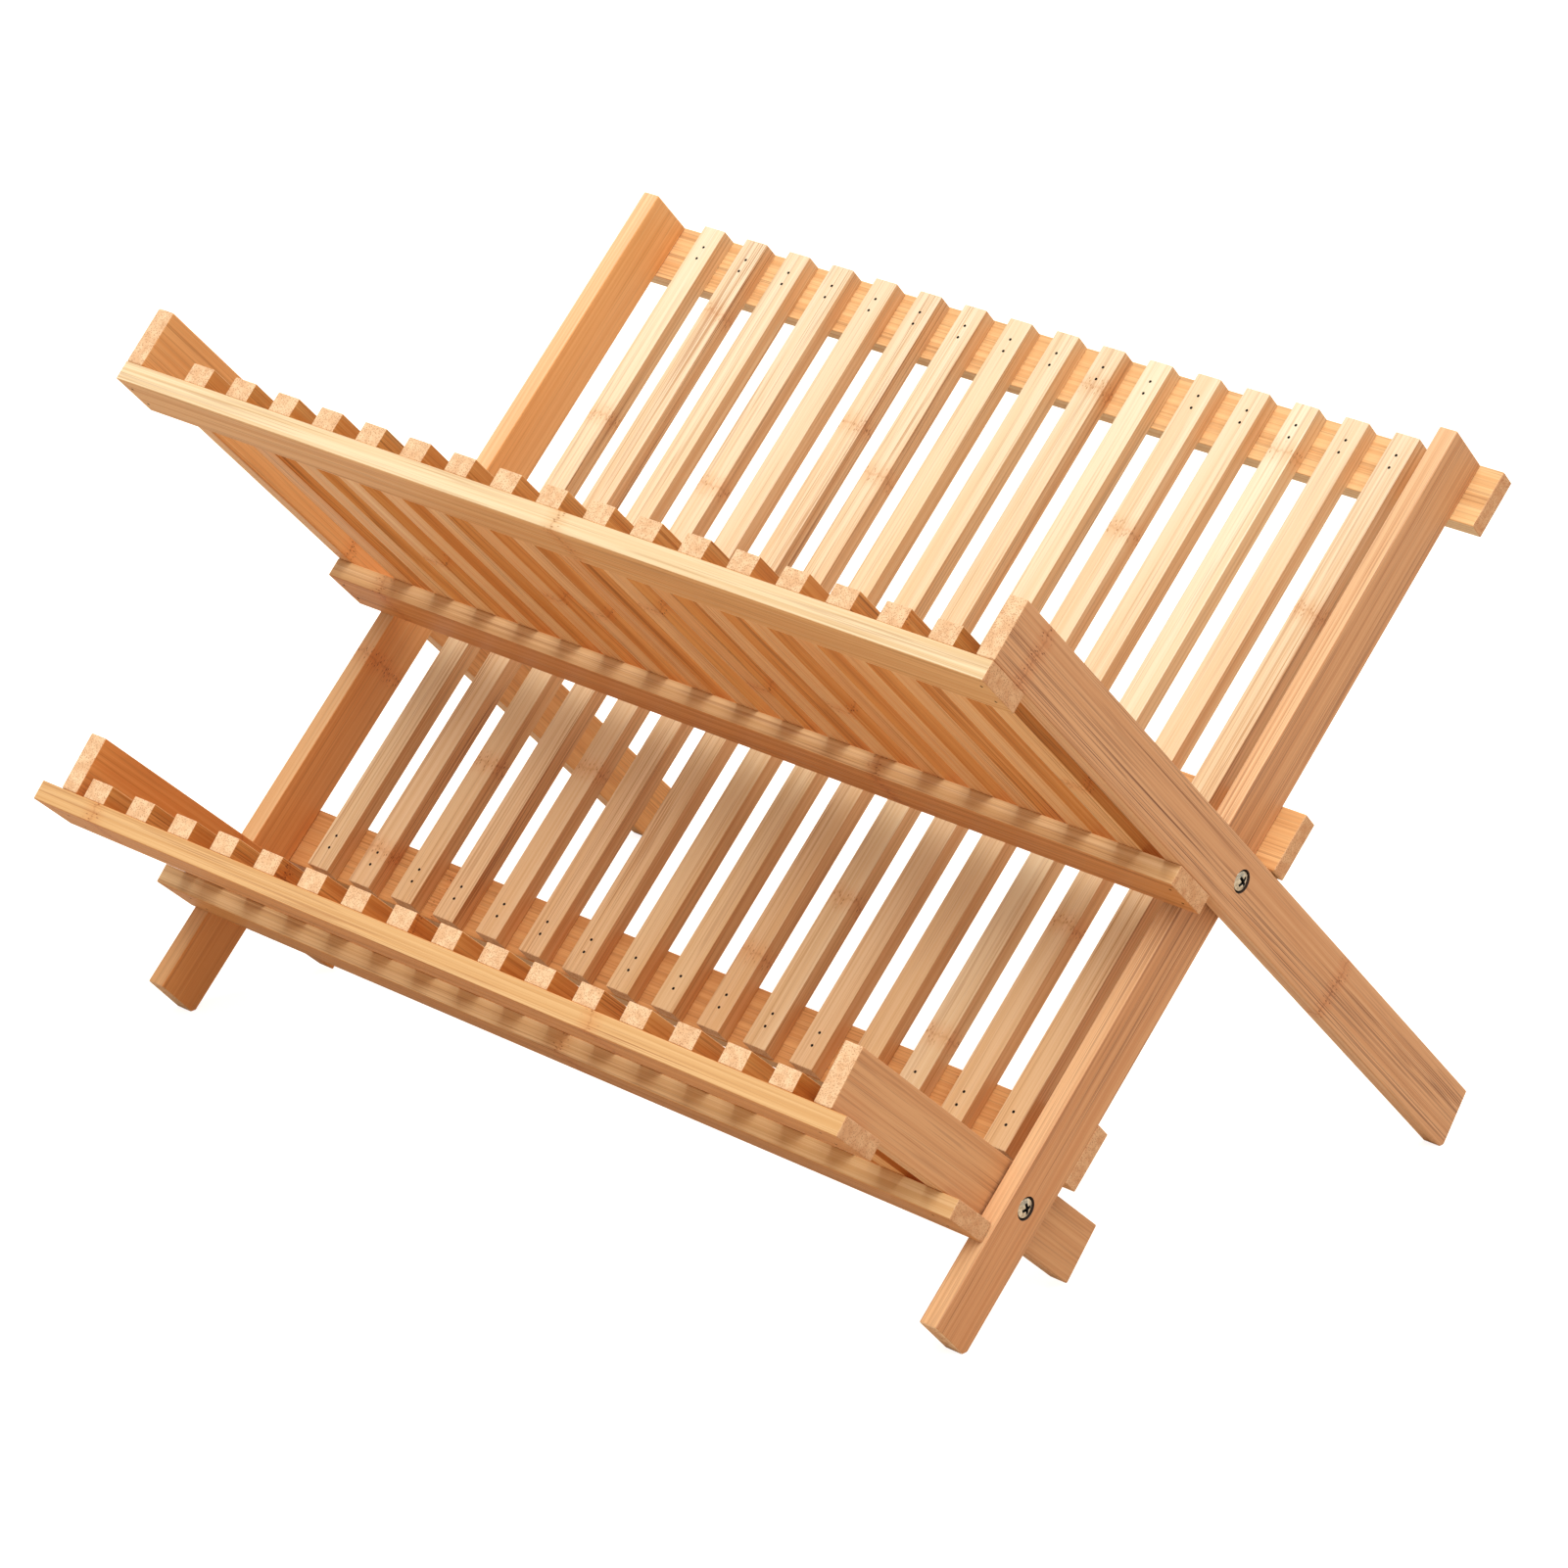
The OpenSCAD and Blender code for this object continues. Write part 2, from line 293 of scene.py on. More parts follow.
# Surface of each material: its roughness and gloss, and the depth and strength of its relief. The
# streaks give two values of their texture and the roughness at each; a smear is rougher by a bit
STREAK_ROUGHNESS = (0.3, 0.7, 0.42, 0.56)
GRAIN_GLOSS = 0.35
GRAIN_RELIEF = 0.12 * MM
GRAIN_RELIEF_SHARE = 0.3
STREAK_RELIEF = 0.5
END_ROUGHNESS = 0.72
END_GLOSS = 0.25
END_RELIEF = 0.1 * MM
END_RELIEF_SHARE = -0.3
PIT_ROUGHNESS = 0.85
SMEAR_ROUGHNESS = 0.12
SMEAR_RANGE = (0.3, 0.7)
SMEAR_RELIEF = 0.05 * MM
SMEAR_RELIEF_SHARE = 0.08


def thin_line(s, value, level, width):
    """1 along the contour where a smooth value passes a level, and 0 away from it."""
    return s.span(s.calc("ABSOLUTE", s.calc("SUBTRACT", value, level)), 0, width, 1.0, 0.0)


def knuckle(s, grain):
    """How near a grain place is to the next knuckle: its thin line, and its wider halo."""
    ripples = s.noise(s.stretch(grain, *RIPPLES))
    wave = s.span(ripples, *RIPPLE_RANGE, -KNUCKLE_WAVE, KNUCKLE_WAVE)
    phase = s.calc("FRACT", s.calc("DIVIDE", s.calc("ADD", s.along(grain), wave), KNUCKLE_SPACING))
    away = s.calc("MULTIPLY", s.calc("ABSOLUTE", s.calc("SUBTRACT", phase, 0.5)), KNUCKLE_SPACING)
    return s.span(away, 0, KNUCKLE_LINE, 1.0, 0.0), s.span(away, 0, KNUCKLE_HALO, 1.0, 0.0)


def add_knuckles(s, grain, colour, dark):
    """The colour with the knuckles' rings, halos and specks in it."""
    ring, halo = knuckle(s, grain)
    colour = s.tint(s.calc("MULTIPLY", halo, HALO_SHARE), colour, KNUCKLE_TINT)
    specks = s.span(s.cells(s.stretch(grain, *SPECKS)), *SPECK_SPAN)
    specks = s.calc("MULTIPLY", specks, s.span(halo, *SPECK_HALO_SPAN))
    return s.blend(s.calc("MAXIMUM", specks, s.calc("MULTIPLY", ring, RING_SHARE)), colour, dark)


def add_board_tone(s, colour):
    """The colour as pink, dark or pale as its own board, and darker towards its foot where a painted shade is set
    on it.
    """
    colour = s.tint(s.attribute("blush"), colour, PINK_TINT)
    tone = s.attribute("tone")
    colour = s.tint(s.span(tone, *DARK_TONE_SPAN), colour, DARK_TINT)
    return s.tint(s.span(tone, *PALE_TONE_SPAN), colour, PALE_TINT)


def long_grain(name, face, side, fibre_share, line_share):
    """Planed bamboo along the grain: soft bands, fine streaks, dark fibres, long thin lines and
    rare knuckles. The wide faces and the narrow sides each have a pale, a middle and a dark colour."""
    s = Shader(name)
    grain = s.attribute("grain", "Vector")
    figure = s.attribute("figure")
    on_side = s.attribute("side")
    pale, mid, dark = (s.blend(on_side, on_face, beside) for on_face, beside in zip(face, side))

    bands = s.noise(s.stretch(grain, *BANDS))
    streaks = s.noise(s.stretch(grain, *STREAKS), detail=3, roughness=0.65)
    colour = s.blend(s.span(bands, *BAND_SPAN), pale, mid)
    colour = s.blend(s.span(streaks, *MIDDLE_STREAK_SPAN), colour, mid)
    colour = s.blend(s.span(streaks, *PALE_STREAK_SPAN), colour, pale)

    patches = s.span(s.noise(s.stretch(grain, *PATCHES)), *PATCH_SPAN)
    fibres = s.span(s.noise(s.stretch(grain, *FIBRES), detail=1), *FIBRE_SPAN)
    fibres = s.calc("MULTIPLY", fibres, fibre_share)
    figured = s.calc("MULTIPLY", patches, figure)
    fibres = s.calc("MULTIPLY", fibres, s.span(figured, *FIBRE_FIGURE_SPAN))
    colour = s.blend(fibres, colour, dark)

    ridges = s.noise(s.stretch(grain, *FIGURE_LINES), detail=1.5)
    strength = s.calc("MULTIPLY", figured, line_share)
    glints = s.calc("MULTIPLY", thin_line(s, ridges, GLINT_LEVEL, GLINT_WIDTH), strength)
    colour = s.blend(s.calc("MULTIPLY", glints, GLINT_SHARE), colour, pale)
    first, second = (thin_line(s, ridges, level, LINE_WIDTH) for level in LINE_LEVELS)
    lines = s.calc("MULTIPLY", s.calc("MAXIMUM", first, second), strength)
    colour = s.blend(lines, colour, dark)

    colour = add_knuckles(s, grain, colour, dark)
    colour = add_board_tone(s, colour)
    s.join(colour, s.surface.inputs["Base Color"])
    s.join(s.span(streaks, *STREAK_ROUGHNESS), s.surface.inputs["Roughness"])
    s.surface.inputs["Specular IOR Level"].default_value = GRAIN_GLOSS
    relief = s.calc("SUBTRACT", s.calc("MULTIPLY", streaks, STREAK_RELIEF), s.calc("MAXIMUM", fibres, lines))
    s.bump(relief, GRAIN_RELIEF_SHARE, GRAIN_RELIEF)
    return s.material


def end_grain(name, ground, pale, dot):
    """Bamboo cut across the grain: a matt ground with the dark dots of the fibre bundles."""
    s = Shader(name)
    grain = s.attribute("grain", "Vector")
    clouds = s.noise(s.stretch(grain, *END_CLOUDS))
    colour = s.blend(s.span(clouds, *END_CLOUD_SPAN), ground, pale)
    dots = s.span(s.cells(s.stretch(grain, *END_DOTS)), *END_DOT_SPAN)
    s.join(s.blend(dots, colour, dot), s.surface.inputs["Base Color"])
    s.surface.inputs["Roughness"].default_value = END_ROUGHNESS
    s.surface.inputs["Specular IOR Level"].default_value = END_GLOSS
    s.bump(dots, END_RELIEF_SHARE, END_RELIEF)
    return s.material


def dark_pit(name):
    """The near-black wall of a nail pit or pivot hole: painted shade in these recesses."""
    s = Shader(name)
    shade_mottle = s.noise(s.stretch(s.object_place(), *PIT_SHADE_MOTTLE))
    s.join(s.blend(shade_mottle, shade(30, 18, 11), shade(58, 36, 22)), s.surface.inputs["Base Color"])
    s.surface.inputs["Roughness"].default_value = PIT_ROUGHNESS
    return s.material


def metal(name, bright, dull, roughness, metallic):
    """Plated metal with faint smears; in near-black it is the painted shade of the screw heads' crosses and of the
    nail heads.
    """
    s = Shader(name)
    smears = s.noise(s.stretch(s.object_place(), *METAL_SMEARS), detail=3)
    s.join(s.blend(s.span(smears, *SMEAR_SPAN), bright, dull), s.surface.inputs["Base Color"])
    rougher = roughness + SMEAR_ROUGHNESS
    s.join(s.span(smears, *SMEAR_RANGE, roughness, rougher), s.surface.inputs["Roughness"])
    s.surface.inputs["Metallic"].default_value = metallic
    s.bump(smears, SMEAR_RELIEF_SHARE, SMEAR_RELIEF)
    return s.material


# Nail pits and pivot holes get near-black walls, a painted shade
PIT = dark_pit("nail_pit")
NICKEL = metal("nickel", shade(238, 232, 214), shade(178, 168, 148), roughness=0.16, metallic=1.0)
# Near-black walls of the cross in the screw heads: painted shade in the recess
PAINTED_SHADE_RECESS = metal("recess", shade(34, 30, 26), shade(16, 14, 12), roughness=0.45, metallic=0.3)
# Near-black nail heads at the foot of the pits: painted shade
NAIL = metal("nail", shade(30, 24, 20), shade(16, 13, 11), roughness=0.6, metallic=0.3)

END_GRAIN = end_grain("end_grain", shade(222, 178, 134), shade(236, 200, 158), shade(160, 98, 60))
BAR_END = end_grain("bar_end", shade(204, 150, 106), shade(218, 172, 128), shade(150, 92, 56))
PALE_SLAT = long_grain(
    "pale_slat",
    face=(shade(240, 222, 188), shade(230, 204, 162), shade(180, 128, 78)),
    side=(shade(236, 200, 152), shade(220, 172, 120), shade(150, 94, 52)),
    fibre_share=0.75, line_share=0.7)
WARM_SLAT = long_grain(
    "warm_slat",
    face=(shade(246, 208, 154), shade(236, 184, 124), shade(152, 90, 46)),
    side=(shade(222, 162, 92), shade(200, 130, 62), shade(112, 58, 24)),
    fibre_share=0.65, line_share=0.8)
BAR = long_grain(
    "bar",
    face=(shade(230, 184, 126), shade(212, 158, 100), shade(124, 72, 38)),
    side=(shade(236, 212, 170), shade(216, 182, 132), shade(160, 106, 62)),
    fibre_share=0.55, line_share=0.5)
RAIL = long_grain(
    "rail",
    face=(shade(217, 168, 121), shade(202, 147, 100), shade(112, 62, 38)),
    side=(shade(238, 202, 156), shade(222, 176, 128), shade(146, 88, 52)),
    fibre_share=0.6, line_share=1.0)
# A paler, warmer copy of the rail material for the left rails: painted bounce light on their inner faces
PAINTED_LIGHT_RAIL = long_grain(
    "golden_rail",
    face=(shade(240, 184, 120), shade(228, 164, 98), shade(140, 80, 38)),
    side=(shade(240, 204, 154), shade(226, 178, 124), shade(150, 92, 50)),
    fibre_share=0.6, line_share=1.0)


# ---------------------------------------------------------------- reading the CAD solids

def islands(node):
    """The separate solids of a CAD node, each as (points, faces as (normal, area)). The faces come
    in the mesh's own order, so every run reads each board's directions in the same way."""
    bm = bmesh.new()
    bm.from_mesh(node.data)
    bmesh.ops.remove_doubles(bm, verts=bm.verts, dist=WELD_DISTANCE)
    bm.verts.ensure_lookup_table()
    bm.faces.index_update()
    found = []
    seen = set()
    for start in bm.verts:
        if start.index in seen:
            continue
        seen.add(start.index)
        group = []
        queue = [start]
        while queue:
            vert = queue.pop()
            group.append(vert)
            for edge in vert.link_edges:
                other = edge.other_vert(vert)
                if other.index not in seen:
                    seen.add(other.index)
                    queue.append(other)
        faces = {face for vert in group for face in vert.link_faces}
        ordered = sorted(faces, key=lambda face: face.index)
        sides = [(face.normal.copy(), face.calc_area()) for face in ordered]
        found.append(([vert.co.copy() for vert in group], sides))
    bm.free()
    return found


def board_axes(sides):
    """A board's directions across, along and through it: its widest faces look through it."""
    areas = []
    for normal, area in sides:
        for entry in areas:
            if abs(entry[0].dot(normal)) > SAME_DIRECTION:
                entry[1] += area
                break
        else:
            areas.append([normal, area])
    areas.sort(key=lambda entry: -entry[1])
    through = areas[0][0]
    across = areas[1][0]
    along = through.cross(across).normalized()
    return across, along, through


def nail_lines(node):
    """The head and tip of every nail in a CAD node."""
    lines = []
    for points, _ in islands(node):
        centre = sum(points, Vector()) / len(points)
        lowest = min(points, key=lambda p: p.z)
        highest = max(points, key=lambda p: p.z)
        lean = highest - lowest
        half = len(points) // 2
        ordered = sorted(points, key=lambda p: (p - centre).dot(lean))
        bottom = sum(ordered[:half], Vector()) / half
        top = sum(ordered[half:], Vector()) / half
        if (top - bottom).length < SLAT_NAIL_MAX:
            lines.append((top, bottom))
        else:
            lines.append((bottom, top))
    return lines


# ---------------------------------------------------------------- solids and cuts

def blank(points, ease):
    """A convex solid round the points, its flat faces whole and its edges eased."""
    bm = bmesh.new()
    for point in points:
        bm.verts.new(point)
    made = bmesh.ops.convex_hull(bm, input=bm.verts)
    inner = dict.fromkeys(made["geom_interior"] + made["geom_unused"])
    loose = [item for item in inner if isinstance(item, bmesh.types.BMVert)]
    bmesh.ops.delete(bm, geom=loose, context="VERTS")
    bmesh.ops.dissolve_limit(
        bm, angle_limit=math.radians(FLAT_ANGLE), verts=bm.verts, edges=bm.edges)
    bmesh.ops.bevel(
        bm, geom=list(bm.edges), offset=ease, segments=EASE_SEGMENTS, profile=EASE_PROFILE,
        affect="EDGES", clamp_overlap=True)
    bmesh.ops.recalc_face_normals(bm, faces=bm.faces)
    return bm


def lathe(outline, origin, direction, turns):
    """A solid of revolution; the outline is (distance along direction, radius) from one end."""
    bm = bmesh.new()
    turn = direction.to_track_quat("Z", "Y").to_matrix()
    rings = []
    for height, radius in outline:
        if radius == 0:
            rings.append([bm.verts.new(origin + direction * height)])
            continue
        ring = []
        for i in range(turns):
            angle = 2 * math.pi * i / turns
            local = Vector((radius * math.cos(angle), radius * math.sin(angle), height))
            ring.append(bm.verts.new(origin + turn @ local))
        rings.append(ring)
    for lower, upper in zip(rings, rings[1:]):
        for i in range(turns):
            j = (i + 1) % turns
            below = [lower[i % len(lower)], lower[j % len(lower)]]
            above = [upper[j % len(upper)], upper[i % len(upper)]]
            bm.faces.new(list(dict.fromkeys(below + above)))
    bmesh.ops.recalc_face_normals(bm, faces=bm.faces)
    return bm


def as_object(name, bm, materials):
    mesh = bpy.data.meshes.new(name)
    bm.to_mesh(mesh)
    bm.free()
    for material in materials:
        mesh.materials.append(material)
    item = bpy.data.objects.new(name, mesh)
    bpy.context.scene.collection.objects.link(item)
    return item


def joined(parts):
    """One mesh of several."""
    whole = bmesh.new()
    for part in parts:
        mesh = bpy.data.meshes.new("part")
        part.to_mesh(mesh)
        part.free()
        whole.from_mesh(mesh)
        bpy.data.meshes.remove(mesh)
    return whole


def carve(item, cutters, material):
    """Cuts the cutters out of an object; the walls that they leave take the material."""
    if not cutters:
        return
    tool = as_object("cutter", joined(cutters), [material])
    cut = item.modifiers.new("cut", "BOOLEAN")
    cut.operation = "DIFFERENCE"
    cut.solver = "EXACT"
    cut.material_mode = "TRANSFER"
    cut.object = tool
    bpy.context.view_layer.update()
    graph = bpy.context.evaluated_depsgraph_get()
    carved = bpy.data.meshes.new_from_object(item.evaluated_get(graph))
    item.modifiers.clear()
    old = item.data
    item.data = carved
    carved.name = item.name
    bpy.data.meshes.remove(old)
    tool_mesh = tool.data
    bpy.data.objects.remove(tool)
    bpy.data.meshes.remove(tool_mesh)


def smooth(item, crease):
    """Rounded edges shade smooth and flat faces stay flat."""
    item.data.shade_smooth()
    item.data.set_sharp_from_angle(angle=math.radians(crease))
    weighted = item.modifiers.new("weighted", "WEIGHTED_NORMAL")
    weighted.keep_sharp = True
    weighted.weight = FLAT_FACE_WEIGHT


def pit_cutters(nails, inside):
    """A cutter for each nail head that lies inside a board."""
    outline = [(0, 0), (0, PIT_RADIUS), (PIT_DEPTH, PIT_RADIUS), (PIT_DEPTH, 0)]
    cutters = []
    for head, tip in nails:
        out = (head - tip).normalized()
        if inside(head - out * PIT_RADIUS):
            cutters.append(lathe(outline, head, out, PIT_TURNS))
    return cutters


def pivot_cutters(points, pivots, counterbored):
    """Cutters for a rail's holes at the pivots; the counterbored ones widen at the outer face."""
    inner = min(abs(p.x) for p in points)
    outer = max(abs(p.x) for p in points)
    side = math.copysign(1, points[0].x)
    out = Vector((side, 0, 0))
    reach = outer - inner + HOLE_OVERSHOOT
    end = reach + HOLE_OVERSHOOT
    cutters = []
    for place in pivots:
        start = Vector((side * (inner - HOLE_OVERSHOOT), place.y, place.z))
        outline = [(0, 0), (0, PIVOT_HOLE_RADIUS), (end, PIVOT_HOLE_RADIUS), (end, 0)]
        if place in counterbored:
            floor = reach - COUNTERBORE_DEPTH
            mouth = COUNTERBORE_RADIUS + COUNTERBORE_BREAK + HOLE_OVERSHOOT
            outline = [
                (0, 0), (0, PIVOT_HOLE_RADIUS), (floor, PIVOT_HOLE_RADIUS), (floor, COUNTERBORE_RADIUS),
                (reach - COUNTERBORE_BREAK, COUNTERBORE_RADIUS), (end, mouth), (end, 0)]
        cutters.append(lathe(outline, start, out, HOLE_TURNS))
    return cutters


# ---------------------------------------------------------------- boards

# A board's material, paleness, strength of figure, and how much paler it grows towards its top, a painted shade
# that darkens the board's lower part
Look = namedtuple("Look", "material tone figure fade")

# Ranges for what differs from board to board: figure, pinkness, and place in the textures
BAR_FIGURE = (0.3, 0.9)
SLAT_FIGURE = (0.1, 1.0)
BLUSH = (0.1, 0.8)
TEXTURE_PLACE = (-5, 5)

# The left rails take the rail material's paler, warmer copy, a painted bounce light on their inner faces
RAIL_LOOKS = {
    "back_rail_left": Look(PAINTED_LIGHT_RAIL, 0.46, 0.08, 0.24),
    "back_rail_right": Look(RAIL, 0.4, 0.6, 0.12),
    "front_rail_left": Look(PAINTED_LIGHT_RAIL, 0.4, 0.3, 0.1),
    "front_rail_right": Look(RAIL, 0.5, 0.9, 0.0),
    "lower_rail_left": Look(PAINTED_LIGHT_RAIL, 0.1, 0.3, 0.0),
    "lower_rail_right": Look(RAIL, 0.36, 0.2, 0.0),
}

BAR_TONES = {
    "back_top_bar": 0.85,
    "back_middle_bar": 0.45,
    "back_lower_bar": 0.25,
    "front_top_bar": 0.7,
    "front_lower_bar": 0.2,
    "lower_top_bar": 0.08,
    "lower_bottom_bar": 0.2,
}

# Each frame's slats: their material, the range of their paleness, and how much paler they grow towards their tops,
# a painted shade on their lower parts
SLAT_LOOKS = {
    "back": (PALE_SLAT, (0.32, 0.5), 0.2),
    "front": (WARM_SLAT, (0.34, 0.6), 0.0),
    "lower": (WARM_SLAT, (0.12, 0.5), 0.0),
}

# Material slots of a board, and how squarely a face looks along its axis to count as a side or end
LONG_SLOT = 0
END_SLOT = 1
SIDE_FACING = 0.75
END_FACING = 0.6


def shortened(points, centre, along, most):
    """The points, with each end of their board drawn in by up to the given length."""
    places = [(p - centre).dot(along) for p in points]
    middle = (min(places) + max(places)) / 2
    low_trim = random.uniform(0, most)
    high_trim = random.uniform(0, most)
    return [
        p + along * (low_trim if place < middle else -high_trim)
        for p, place in zip(points, places)]


def mark_grain(item, axes, centre, look):
    """Gives every point its place in the grain and its board's looks, and every face its cut."""
    across, along, through = axes
    mesh = item.data
    shift = Vector(random.uniform(*TEXTURE_PLACE) for _ in range(3))
    pink = random.uniform(*BLUSH)
    mesh.attributes.new("grain", "FLOAT_VECTOR", "POINT")
    mesh.attributes.new("side", "FLOAT", "FACE")
    for key in ("tone", "figure", "blush"):
        mesh.attributes.new(key, "FLOAT", "POINT")
    grain = mesh.attributes["grain"].data
    tone = mesh.attributes["tone"].data
    figure = mesh.attributes["figure"].data
    blush = mesh.attributes["blush"].data
    upward = math.copysign(1, along.z)
    half = max(abs((vert.co - centre).dot(along)) for vert in mesh.vertices)
    for vert in mesh.vertices:
        place = vert.co - centre
        local = Vector((place.dot(across), place.dot(along), place.dot(through)))
        grain[vert.index].vector = local + shift
        # Painted shade: the tone falls towards the board's foot and rises towards its top
        tone[vert.index].value = look.tone + look.fade * upward * local.y / half
        figure[vert.index].value = look.figure
        blush[vert.index].value = pink
    sides = mesh.attributes["side"].data
    for face in mesh.polygons:
        sides[face.index].value = 1.0 if abs(face.normal.dot(across)) > SIDE_FACING else 0.0
        if face.material_index == LONG_SLOT and abs(face.normal.dot(along)) > END_FACING:
            face.material_index = END_SLOT


def add_board(
        name, solid, look, ease, nails, body, node,
        pivots=(), counterbored=(), short=0.0):
    """Builds one board in place of its CAD solid, with its nail pits and pivot holes."""
    points, sides = solid
    axes = board_axes(sides)
    centre = (Vector(map(min, *points)) + Vector(map(max, *points))) / 2
    if short:
        points = shortened(points, centre, axes[1], short)
    ends = BAR_END if look.material == BAR else END_GRAIN
    item = as_object(name, blank(points, ease), [look.material, ends])
    spans = [[(p - centre).dot(axis) for p in points] for axis in axes]

    def inside(place):
        return all(min(s) < (place - centre).dot(axis) < max(s) for s, axis in zip(spans, axes))

    cutters = pit_cutters(nails, inside) + pivot_cutters(points, pivots, counterbored)
    carve(item, cutters, PIT)
    mark_grain(item, axes, centre, look)
    smooth(item, BOARD_CREASE)
    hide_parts(node)
    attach(item, body)


def add_rail(node, part, body, nails):
    pivots, counterbored = RAIL_HOLES[part]
    solid = islands(frame["nodes"][node])[0]
    add_board(
        node + "_timber", solid, RAIL_LOOKS[node], RAIL_EASE, nails, body, node,
        pivots, counterbored)


def add_bar(node, body, nails):
    solid = islands(frame["nodes"][node])[0]
    look = Look(BAR, BAR_TONES[node], random.uniform(*BAR_FIGURE), 0.0)
    add_board(node + "_timber", solid, look, BAR_EASE, nails, body, node)


def add_slats(node, part, body, nails):
    """The slats of one node; where it has several, they are numbered from the left."""
    solids = islands(frame["nodes"][node])
    solids.sort(key=lambda solid: solid[0][0].x)
    material, tones, fade = SLAT_LOOKS[part]
    for number, solid in enumerate(solids, start=1):
        name = node + "_timber"
        if len(solids) > 1:
            name += "_%d" % number
        tone = random.uniform(*tones)
        look = Look(material, tone, random.uniform(*SLAT_FIGURE), fade)
        add_board(
            name, solid, look, SLAT_EASE, nails, body, node, short=SLAT_SHORT)


joints = {joint["name"]: Vector(joint["pos_m"]) for joint in frame["joints"]}
MAIN_PIVOT = joints["front_frame_fold"]
LOWER_PIVOT = joints["lower_frame_fold"]

# The pivots that pass through each frame's rails, and those whose screw heads sit in them
RAIL_HOLES = {
    "back": ([MAIN_PIVOT, LOWER_PIVOT], [LOWER_PIVOT]),
    "front": ([MAIN_PIVOT], [MAIN_PIVOT]),
    "lower": ([LOWER_PIVOT], []),
}

for body, nodes in sorted(frame["record"]["behaviour"]["bodies"].items()):
    part = body.split("_")[0]
    nails = nail_lines(frame["nodes"][part + "_nails"])
    for node in sorted(nodes):
        if "rail" in node:
            add_rail(node, part, body, nails)
        elif "bar" in node:
            add_bar(node, body, nails)
        elif "slat" in node:
            add_slats(node, part, body, nails)


# ---------------------------------------------------------------- metal

# A screw's point is on its head if it lies beyond this share of the head's radius
HEAD_SHARE = 0.9


def screw_outline(tip, base, top, shank_radius, head_radius):
    """A pivot screw's outline for the lathe: its shank, the head's rounded rim, and its low dome."""
    under = base - tip
    rim = top - HEAD_RISE - tip
    dome_radius = head_radius - HEAD_RIM
    outline = [
        (0, 0), (0, shank_radius), (under, shank_radius), (under, head_radius - HEAD_RIM / 2),
        (under + HEAD_RIM / 2, head_radius), (rim - HEAD_RIM, head_radius)]
    for i in range(1, HEAD_STEPS + 1):
        angle = math.pi / 2 * i / HEAD_STEPS
        height = rim - HEAD_RIM + HEAD_RIM * math.sin(angle)
        outline.append((height, dome_radius + HEAD_RIM * math.cos(angle)))
    for i in range(1, HEAD_STEPS):
        share = 1 - i / HEAD_STEPS
        outline.append((rim + HEAD_RISE * (1 - share ** 2), dome_radius * share))
    outline.append((rim + HEAD_RISE, 0))
    return outline


def cross_cutter(side, top, middle, turn):
    """A cutter for one arm of the cross in a screw's head; it narrows as it goes in."""
    arm = bmesh.new()
    bmesh.ops.create_cube(arm, size=1)
    for vert in arm.verts:
        deep = vert.co.x < 0
        taper = CROSS_TAPER if deep else 1
        rise = -CROSS_DEPTH if deep else MM
        length = CROSS_LENGTH * taper
        width = CROSS_WIDTH * taper
        vert.co = Vector((side * (top + rise), vert.co.y * length, vert.co.z * width))
    spin = Matrix.Rotation(math.radians(turn), 4, "X")
    bmesh.ops.transform(arm, matrix=Matrix.Translation(middle) @ spin, verts=arm.verts)
    bmesh.ops.recalc_face_normals(arm, faces=arm.faces)
    return arm


def add_screw(name, points, turn):
    """A pivot screw: its shank, and a low domed head with a cross cut in it."""
    side = math.copysign(1, points[0].x)
    depths = [abs(p.x) for p in points]
    tip = min(depths)
    top = max(depths)
    ys = [p.y for p in points]
    zs = [p.z for p in points]
    middle = Vector((0, (min(ys) + max(ys)) / 2, (min(zs) + max(zs)) / 2))
    radii = [math.hypot(p.y - middle.y, p.z - middle.z) for p in points]
    head_radius = (max(ys) - min(ys)) / 2
    shank_radius = max(radius for radius, depth in zip(radii, depths) if depth - tip < MM)
    base = min(depth for radius, depth in zip(radii, depths) if radius > HEAD_SHARE * head_radius)

    out = Vector((side, 0, 0))
    outline = screw_outline(tip, base, top, shank_radius, head_radius)
    item = as_object(name, lathe(outline, middle + out * tip, out, HEAD_TURNS), [NICKEL])
    # The cross's walls take the near-black painted shade
    for quarter in (0, 90):
        carve(item, [cross_cutter(side, top, middle, turn + quarter)], PAINTED_SHADE_RECESS)
    smooth(item, SCREW_CREASE)
    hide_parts("pivot_screws")
    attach(item, "back_frame")


def finish_metal_node(node, material):
    """A CAD node that keeps its shape and gets its material here."""
    item = frame["nodes"][node]
    item.data.materials.clear()
    item.data.materials.append(material)


screws = sorted(islands(frame["nodes"]["pivot_screws"]), key=lambda s: (s[0][0].x > 0, s[0][0].z))
for number, (solid, turn) in enumerate(zip(screws, CROSS_TURNS), start=1):
    add_screw("pivot_screw_%d" % number, solid[0], turn)

finish_metal_node("pivot_sleeves", NICKEL)
for part in ("back", "front", "lower"):
    finish_metal_node(part + "_nails", NAIL)


# ---------------------------------------------------------------- stage and light

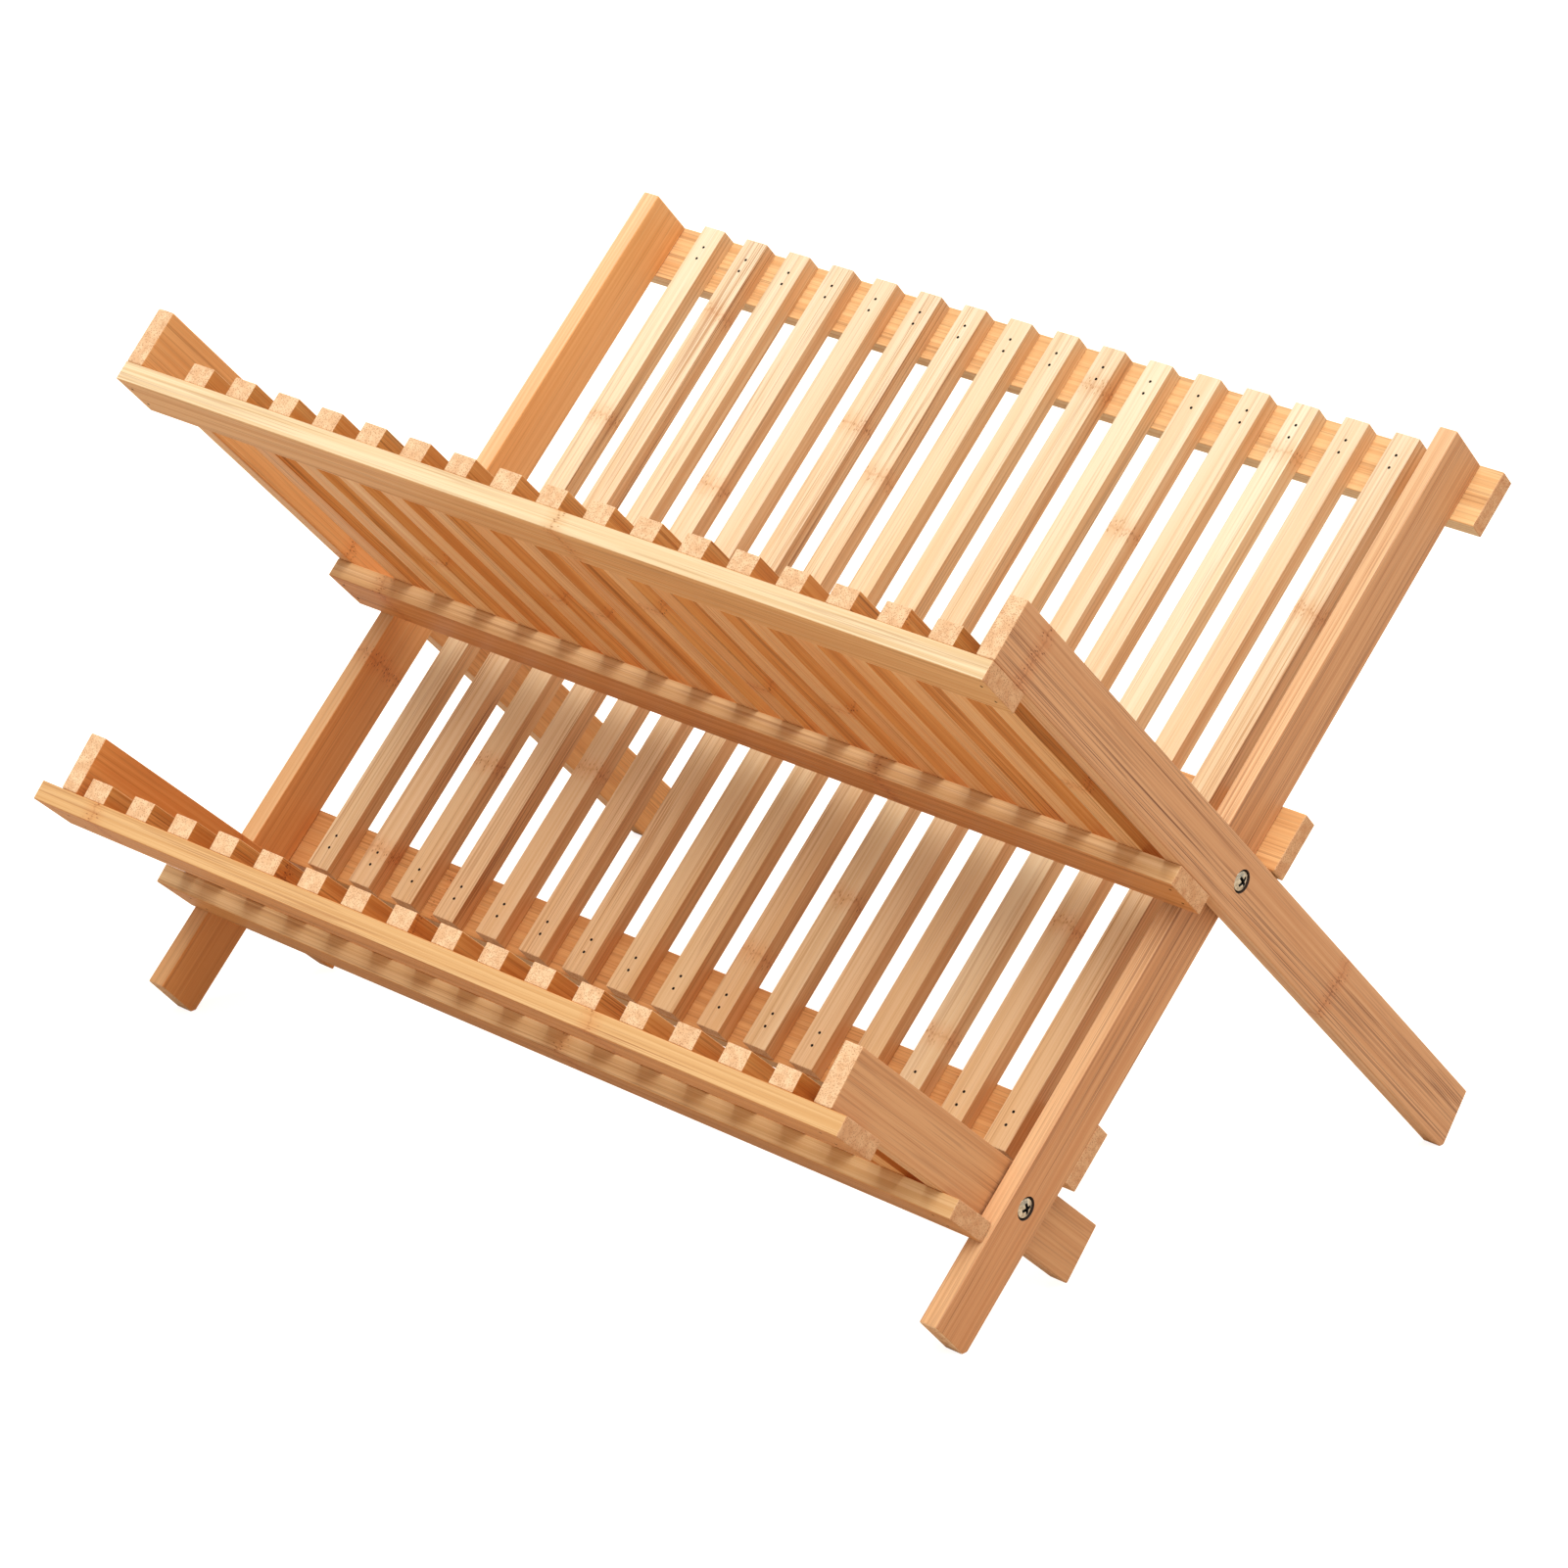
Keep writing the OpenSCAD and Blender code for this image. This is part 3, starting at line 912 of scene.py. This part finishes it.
FLOOR_SIZE = 30
FLOOR_CELLS = 8
FLOOR_COLOUR = (0.62, 0.52, 0.42, 1)
FLOOR_ROUGHNESS = 0.9
FLOOR_GLOW = 0.85
WHITE = (1, 1, 1, 1)
WORLD_COLOUR = (1.0, 0.96, 0.91, 1)
WORLD_LIGHT = 0.53
KEY_LIGHT = 2.9
KEY_TURN = (14, 14, 0)
KEY_SOFTNESS = 62


def add_floor():
    """A pale floor. It looks brighter to the camera than it lights the rack, so it stays white."""
    bm = bmesh.new()
    bmesh.ops.create_grid(
        bm, x_segments=FLOOR_CELLS, y_segments=FLOOR_CELLS, size=FLOOR_SIZE / 2)
    s = Shader("floor")
    s.surface.inputs["Base Color"].default_value = FLOOR_COLOUR
    s.surface.inputs["Roughness"].default_value = FLOOR_ROUGHNESS
    s.surface.inputs["Specular IOR Level"].default_value = 0.0
    s.surface.inputs["Emission Color"].default_value = WHITE
    seen = s.add("ShaderNodeLightPath").outputs["Is Camera Ray"]
    s.join(s.calc("MULTIPLY", seen, FLOOR_GLOW), s.surface.inputs["Emission Strength"])
    floor = as_object("floor", bm, [s.material])


def add_world():
    """Even light from all round, with a plain white backdrop where the camera sees past the floor."""
    world = bpy.data.worlds.new("studio")
    world.use_nodes = True
    nodes = world.node_tree.nodes
    links = world.node_tree.links
    light = nodes["Background"]
    light.inputs["Color"].default_value = WORLD_COLOUR
    light.inputs["Strength"].default_value = WORLD_LIGHT
    backdrop = nodes.new("ShaderNodeBackground")
    backdrop.inputs["Color"].default_value = WHITE
    seen = nodes.new("ShaderNodeLightPath").outputs["Is Camera Ray"]
    pick = nodes.new("ShaderNodeMixShader")
    links.new(seen, pick.inputs[0])
    links.new(light.outputs["Background"], pick.inputs[1])
    links.new(backdrop.outputs["Background"], pick.inputs[2])
    links.new(pick.outputs["Shader"], nodes["World Output"].inputs["Surface"])
    bpy.context.scene.world = world


def add_key_light():
    """A very soft light from above."""
    key = bpy.data.lights.new("key", "SUN")
    key.energy = KEY_LIGHT
    key.angle = math.radians(KEY_SOFTNESS)
    lamp = bpy.data.objects.new("key", key)
    lamp.rotation_euler = [math.radians(v) for v in KEY_TURN]
    bpy.context.scene.collection.objects.link(lamp)


add_floor()
add_world()
add_key_light()
bpy.context.scene.view_settings.view_transform = "Standard"
